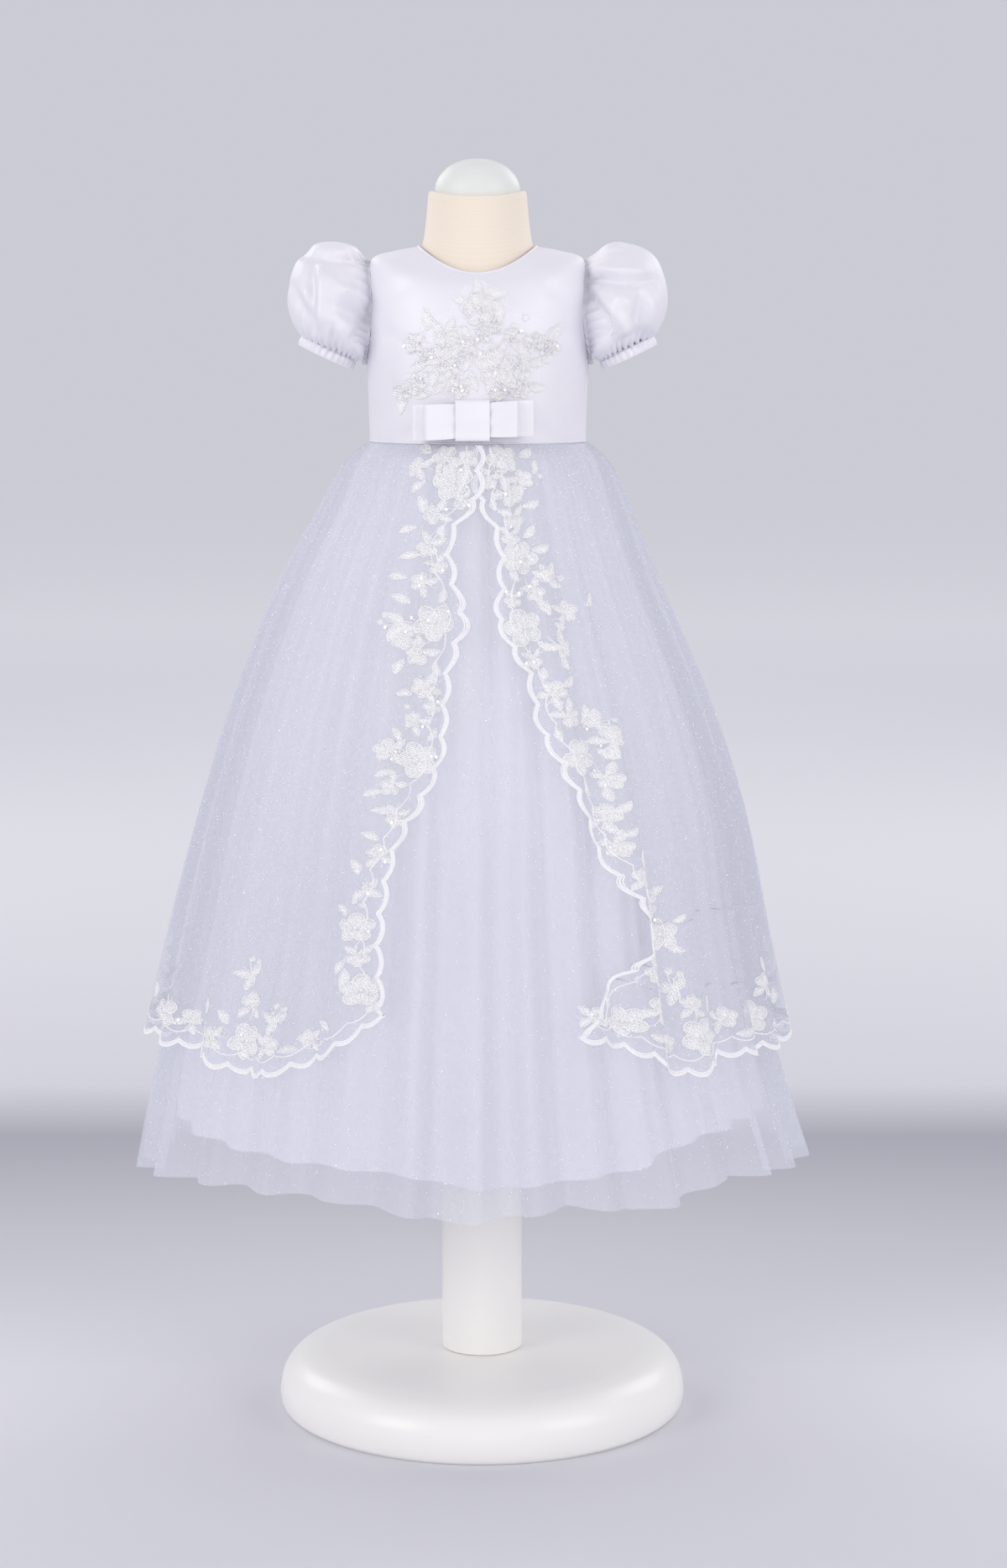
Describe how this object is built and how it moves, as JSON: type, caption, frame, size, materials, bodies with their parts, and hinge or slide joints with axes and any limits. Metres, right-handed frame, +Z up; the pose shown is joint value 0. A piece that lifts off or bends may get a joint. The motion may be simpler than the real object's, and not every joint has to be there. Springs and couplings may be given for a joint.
{
  "type": "christening gown on a dress form with stand",
  "caption": "Baby's christening gown with puff sleeves, a bow and a lace-edged open net overskirt over net and satin skirts, worn by a limbless dress form on a round stand",
  "frame": {"origin": "centre of the round base's underside", "axes": "+Z up along the pole, -Y the gown's front, +X the wearer's left side"},
  "size_m": [0.5283, 0.4271, 0.9722],
  "materials": {
    "satin": "white satin with a soft lavender shade",
    "glitter_net": "fine bluish-lilac net with small glitter points",
    "lace": "matt white embroidery on net",
    "form_jersey": "cream jersey",
    "form_cap": "glossy, greenish white",
    "stand_plastic": "warm white with a satin gloss"
  },
  "bodies": {
    "root": {"bodice_front": "satin", "bodice_back_left": "satin", "bodice_back_right": "satin", "sleeve_left": "satin", "sleeve_right": "satin", "cuff_left": "satin", "cuff_right": "satin", "skirt_lining_front": "satin", "skirt_lining_back": "satin", "net_skirt_front": "glitter_net", "net_skirt_back": "glitter_net", "overskirt_left": "glitter_net", "overskirt_right": "glitter_net", "lace_edge_left": "lace", "lace_edge_right": "lace", "bodice_lace": "lace", "bow_back": "satin", "bow_front": "satin", "bow_band": "satin", "form_torso": "form_jersey", "form_cap": "form_cap", "form_pole": "stand_plastic", "form_base": "stand_plastic"}
  },
  "joints": []
}
